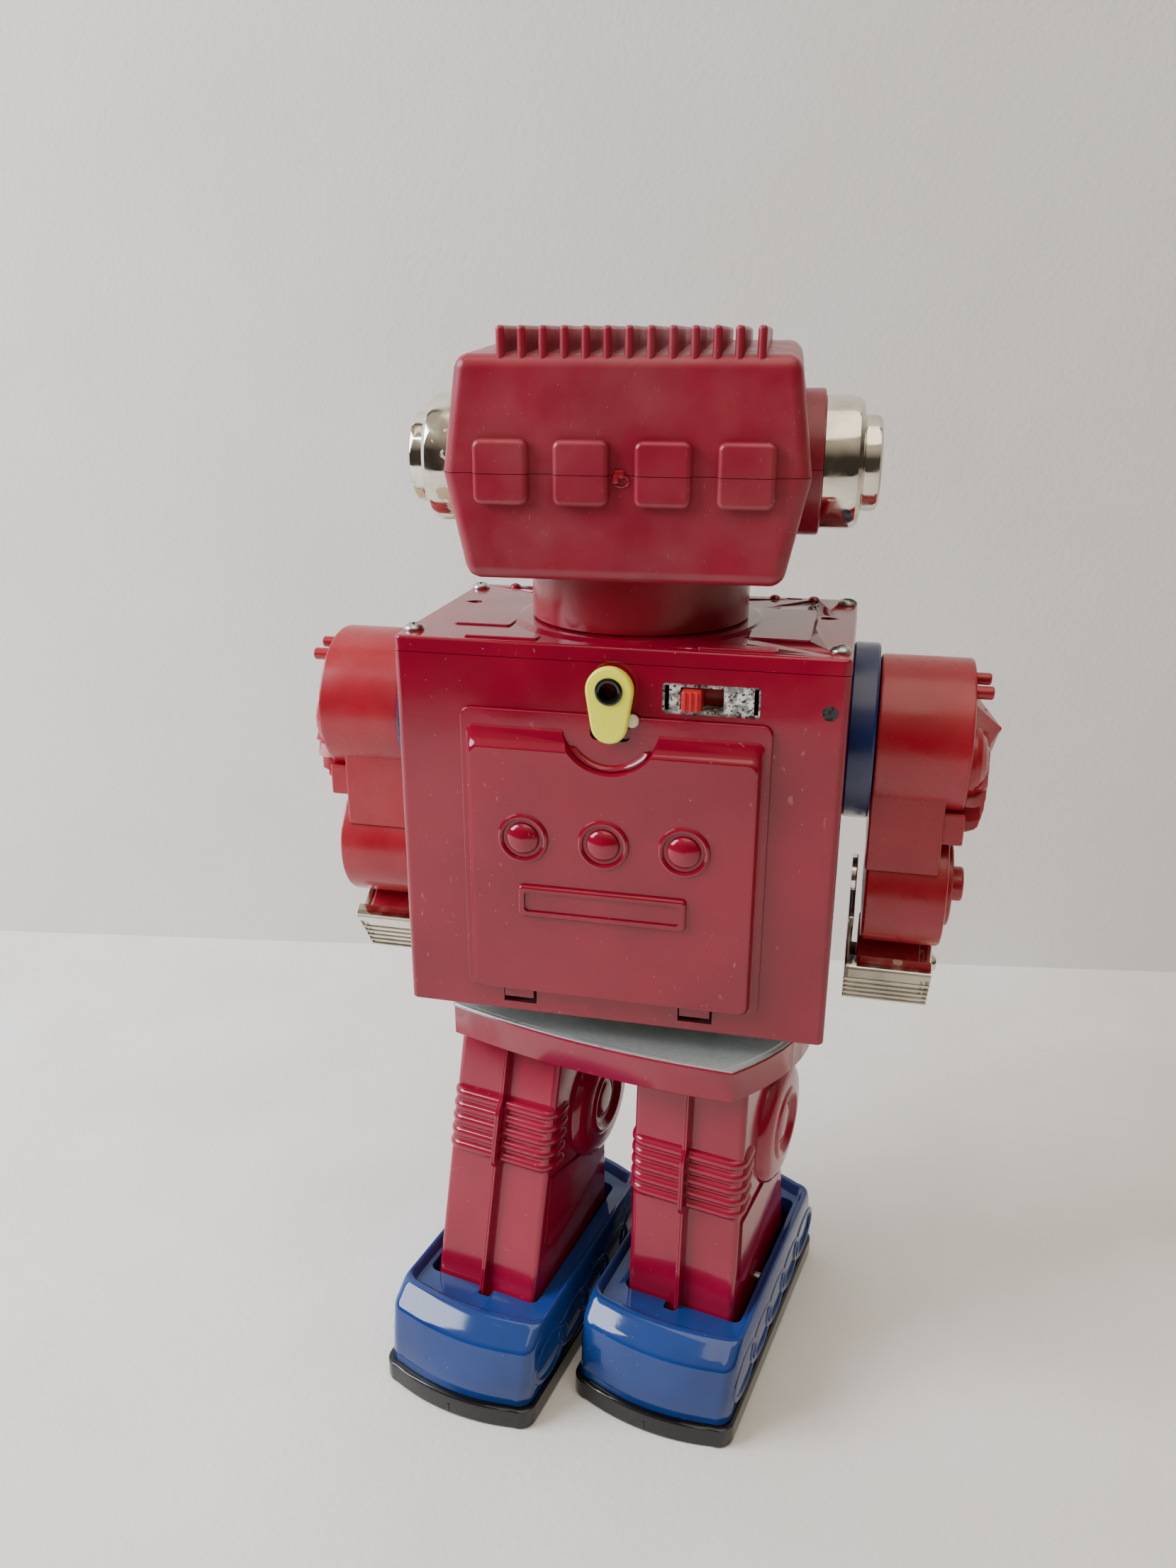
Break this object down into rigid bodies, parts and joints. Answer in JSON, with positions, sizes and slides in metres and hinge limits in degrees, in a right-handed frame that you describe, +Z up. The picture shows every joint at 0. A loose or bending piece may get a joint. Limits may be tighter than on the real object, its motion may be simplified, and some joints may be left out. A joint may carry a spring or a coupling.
{
  "type": "battery-operated walking toy robot",
  "caption": "Tin and plastic walking toy robot with a turning waist and head, swinging arms and legs, a chest that opens, and a latched battery door and slide switch in its back.",
  "frame": {"origin": "On the ground under the middle of the robot's overall box, as it stands at rest", "axes": "+Z up, -Y the way that the hips and shoes face, +X the robot's left"},
  "size_m": [0.2566, 0.1628, 0.4],
  "materials": {
    "red_tin": "deep red gloss enamel on pressed tinplate",
    "bare_tin": "bare tinplate",
    "steel": "plain steel, a little tarnished",
    "blue_tin": "blue gloss enamel on pressed tinplate",
    "red_plastic": "orange-red moulded plastic with a waxy shine",
    "dull_red_plastic": "maroon-red moulded plastic, dulled with age",
    "navy_plastic": "dark blue moulded plastic",
    "black_plastic": "black moulded plastic",
    "plated_plastic": "chrome plating on moulded plastic, worn in patches",
    "yellow_plastic": "pale yellow moulded plastic",
    "cream_plastic": "cream moulded plastic",
    "brass": "plain brass",
    "cell_jacket": "plain printed steel jacket without lettering",
    "lamp_red": "clear red moulded plastic",
    "lens": "clear amber moulded lens",
    "zinc": "zinc-plated steel, corroded in spots",
    "switch_red": "bright red moulded plastic"
  },
  "bodies": {
    "hips": {"pelvis_shell": "red_tin", "pelvis_top_plate": "bare_tin", "turntable_gear": "cream_plastic", "hip_frame": "steel", "hip_axle": "steel"},
    "crank": {"crank_axle": "brass"},
    "left_leg": {"left_leg_outer": "red_tin", "left_leg_inner": "red_tin"},
    "right_leg": {"right_leg_outer": "red_tin", "right_leg_inner": "red_tin"},
    "left_shoe": {"left_ankle_pin": "steel", "left_shoe_shell": "blue_tin", "left_shoe_sole": "black_plastic"},
    "right_shoe": {"right_ankle_pin": "steel", "right_shoe_shell": "blue_tin", "right_shoe_sole": "black_plastic"},
    "left_roller": {"left_roller": "steel"},
    "right_roller": {"right_roller": "steel"},
    "torso": {"torso_shell": "red_tin", "torso_lid": "red_tin", "torso_base": "bare_tin", "waist_bearing": "brass", "lid_screws": "steel", "battery_box": "cream_plastic", "battery_cells": "cell_jacket", "battery_contacts": "brass", "latch_eyelet": "black_plastic", "switch_plate": "zinc", "gearbox_frame": "steel", "motor_case": "steel", "chest_bay": "black_plastic", "chest_lamps": "lamp_red", "chest_door_pins": "steel", "left_shoulder_ring": "navy_plastic", "right_shoulder_ring": "navy_plastic"},
    "motor_rotor": {"motor_rotor": "brass"},
    "first_gear": {"first_gear": "cream_plastic"},
    "second_gear": {"second_gear": "cream_plastic"},
    "drive_shaft": {"drive_shaft": "steel"},
    "turning_pinion": {"turning_pinion": "cream_plastic"},
    "battery_door": {"battery_door": "red_tin"},
    "door_latch": {"door_latch": "yellow_plastic"},
    "switch_slider": {"switch_slider": "switch_red"},
    "left_chest_door": {"left_chest_door": "red_tin"},
    "right_chest_door": {"right_chest_door": "red_tin"},
    "head": {"head_upper": "dull_red_plastic", "head_lower": "dull_red_plastic", "neck_collar": "red_plastic", "face_visor": "black_plastic", "eye_lenses": "lens", "left_ear": "plated_plastic", "right_ear": "plated_plastic"},
    "left_arm": {"left_arm": "red_plastic", "left_shoulder_badge": "red_plastic", "left_hand": "plated_plastic", "left_hand_screw": "steel"},
    "right_arm": {"right_arm": "red_plastic", "right_shoulder_badge": "red_plastic", "right_hand": "plated_plastic", "right_hand_screw": "steel"}
  },
  "joints": [
    {"name": "waist_turn", "type": "hinge", "parent": "hips", "child": "torso", "pos_m": [-0.00145, -0.01573, 0.165], "axis": [0, 0, 1], "continuous": true},
    {"name": "motor_turn", "type": "hinge", "parent": "torso", "child": "motor_rotor", "pos_m": [0.04872, -0.01138, 0.21], "axis": [0, 0, 1], "continuous": true},
    {"name": "first_gear_turn", "type": "hinge", "parent": "torso", "child": "first_gear", "pos_m": [0.03159, -0.01496, 0.182], "axis": [0, 0, 1], "continuous": true},
    {"name": "second_gear_turn", "type": "hinge", "parent": "torso", "child": "second_gear", "pos_m": [0.01495, -0.01843, 0.182], "axis": [0, 0, 1], "continuous": true},
    {"name": "drive_shaft_turn", "type": "hinge", "parent": "torso", "child": "drive_shaft", "pos_m": [-0.00145, -0.01573, 0.17], "axis": [0, 0, 1], "continuous": true},
    {"name": "turning_pinion_turn", "type": "hinge", "parent": "torso", "child": "turning_pinion", "pos_m": [-0.03179, -0.02207, 0.17], "axis": [0, 0, 1], "continuous": true},
    {"name": "crank_turn", "type": "hinge", "parent": "hips", "child": "crank", "pos_m": [-0.00145, -0.02633, 0.1442], "axis": [1, 0, 0], "continuous": true},
    {"name": "right_hip", "type": "hinge", "parent": "hips", "child": "right_leg", "pos_m": [-0.03895, 0.00027, 0.143], "axis": [1, 0, 0], "range_deg": [0, 11.8]},
    {"name": "left_hip", "type": "hinge", "parent": "hips", "child": "left_leg", "pos_m": [0.03605, 0.00027, 0.143], "axis": [1, 0, 0], "range_deg": [-11.8, 0]},
    {"name": "right_ankle", "type": "hinge", "parent": "right_leg", "child": "right_shoe", "pos_m": [-0.03895, -0.01176, 0.02662], "axis": [1, 0, 0], "range_deg": [-11.8, 0]},
    {"name": "left_ankle", "type": "hinge", "parent": "left_leg", "child": "left_shoe", "pos_m": [0.03605, 0.0123, 0.02662], "axis": [1, 0, 0], "range_deg": [0, 11.8]},
    {"name": "left_roller_spin", "type": "hinge", "parent": "left_shoe", "child": "left_roller", "pos_m": [0.03485, -0.0217, 0.00805], "axis": [1, 0, 0], "continuous": true},
    {"name": "right_roller_spin", "type": "hinge", "parent": "right_shoe", "child": "right_roller", "pos_m": [-0.03775, -0.04576, 0.00805], "axis": [1, 0, 0], "continuous": true},
    {"name": "left_shoulder", "type": "hinge", "parent": "torso", "child": "left_arm", "pos_m": [0.09254, -0.0011, 0.2625], "axis": [0.9789, 0.2045, 0], "range_deg": [-150, 60]},
    {"name": "right_shoulder", "type": "hinge", "parent": "torso", "child": "right_arm", "pos_m": [-0.09344, -0.03995, 0.2625], "axis": [0.9789, 0.2045, 0], "range_deg": [-150, 60]},
    {"name": "head_turn", "type": "hinge", "parent": "torso", "child": "head", "pos_m": [-0.00145, -0.01573, 0.31], "axis": [0, 0, 1], "range_deg": [-60, 60]},
    {"name": "battery_door_hinge", "type": "hinge", "parent": "torso", "child": "battery_door", "pos_m": [-0.00986, 0.03186, 0.1682], "axis": [-0.9789, -0.2045, 0], "range_deg": [0, 90]},
    {"name": "door_latch_turn", "type": "hinge", "parent": "torso", "child": "door_latch", "pos_m": [-0.01166, 0.03557, 0.2876], "axis": [0.2045, -0.9789, 0], "range_deg": [0, 100]},
    {"name": "switch_slide", "type": "slide", "parent": "torso", "child": "switch_slider", "axis": [-0.9789, -0.2045, 0], "range_m": [0, 0.0062]},
    {"name": "left_chest_door_hinge", "type": "hinge", "parent": "torso", "child": "left_chest_door", "pos_m": [0.05546, -0.05635, 0.229], "axis": [0, 0, 1], "range_deg": [0, 100]},
    {"name": "right_chest_door_hinge", "type": "hinge", "parent": "torso", "child": "right_chest_door", "pos_m": [-0.03734, -0.07574, 0.229], "axis": [0, 0, 1], "range_deg": [-100, 0]}
  ],
  "couplings": [
    {"joint": "first_gear_turn", "follows": "motor_turn", "ratio": -0.25},
    {"joint": "second_gear_turn", "follows": "motor_turn", "ratio": 0.090278},
    {"joint": "drive_shaft_turn", "follows": "motor_turn", "ratio": -0.054167},
    {"joint": "crank_turn", "follows": "motor_turn", "ratio": -0.0033854},
    {"joint": "turning_pinion_turn", "follows": "waist_turn", "ratio": 3.3333},
    {"joint": "left_hip", "follows": "right_hip", "ratio": -1},
    {"joint": "right_ankle", "follows": "right_hip", "ratio": -1},
    {"joint": "left_ankle", "follows": "right_hip", "ratio": 1},
    {"joint": "right_chest_door_hinge", "follows": "left_chest_door_hinge", "ratio": -1}
  ]
}
